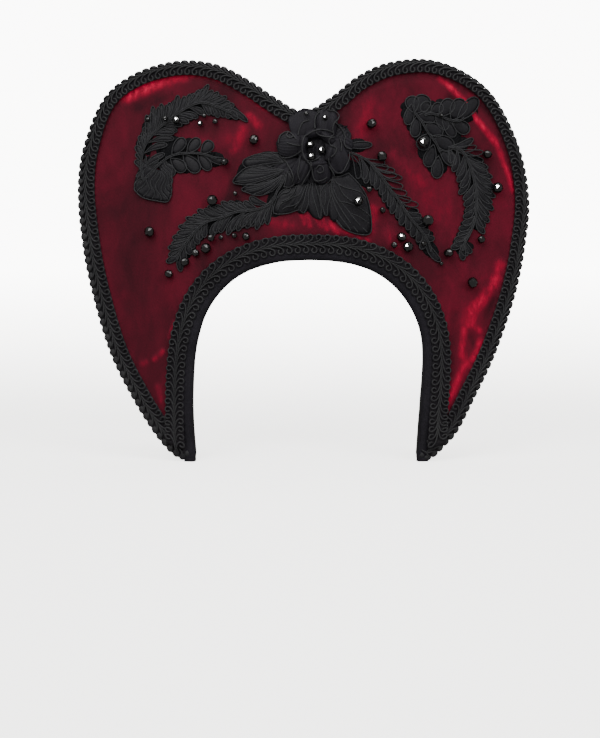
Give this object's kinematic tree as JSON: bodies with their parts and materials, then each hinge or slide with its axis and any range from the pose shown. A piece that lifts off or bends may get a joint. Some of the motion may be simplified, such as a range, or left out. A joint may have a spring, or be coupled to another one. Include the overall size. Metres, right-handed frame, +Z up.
{
  "type": "heart-shaped gothic crown",
  "caption": "Stiff heart-shaped velvet crown on an arched head band, edged with scroll braid and trimmed with corded leaf sprays, a satin rose and faceted beads.",
  "frame": {"origin": "centre of the footprint, on the surface that the two ends of the head band stand on", "axes": "+X to the right of someone who faces the crown, across its width; -Y out of the velvet front towards that person; +Z up, the panel leaning back by 5 degrees"},
  "size_m": [0.3077, 0.0516, 0.2689],
  "materials": {
    "crimson_velvet": "crushed velvet pile",
    "black_velvet": "short velvet pile",
    "black_gimp": "rayon scroll gimp cord",
    "black_satin": "corded lace with satin filling",
    "jet_glass": "faceted and polished"
  },
  "bodies": {
    "root": {"velvet_panel": "crimson_velvet", "head_band": "black_velvet", "outer_braid": "black_gimp", "inner_braid": "black_gimp", "spray_left_top": "black_satin", "spray_left_middle": "black_satin", "spray_left_lower": "black_satin", "spray_right_lower": "black_satin", "spray_right_top": "black_satin", "spray_right_branch": "black_satin", "spray_right_side": "black_satin", "leaf_left_large": "black_satin", "leaf_left_small": "black_satin", "leaf_left_fan": "black_satin", "leaf_right_large": "black_satin", "leaf_strap": "black_satin", "rose": "black_satin", "bead_left_a": "jet_glass", "bead_left_b": "jet_glass", "bead_left_c": "jet_glass", "bead_left_d": "jet_glass", "bead_left_e": "jet_glass", "bead_left_f": "jet_glass", "bead_left_g": "jet_glass", "bead_left_h": "jet_glass", "bead_left_i": "jet_glass", "bead_left_j": "jet_glass", "bead_right_a": "jet_glass", "bead_right_b": "jet_glass", "bead_right_c": "jet_glass", "bead_right_d": "jet_glass", "bead_right_e": "jet_glass", "bead_right_f": "jet_glass", "bead_right_g": "jet_glass", "bead_right_h": "jet_glass", "bead_right_i": "jet_glass", "bead_right_j": "jet_glass", "bead_right_k": "jet_glass", "bead_right_l": "jet_glass", "bead_centre_a": "jet_glass", "bead_centre_b": "jet_glass", "bead_centre_c": "jet_glass", "bead_centre_d": "jet_glass"}
  },
  "joints": []
}
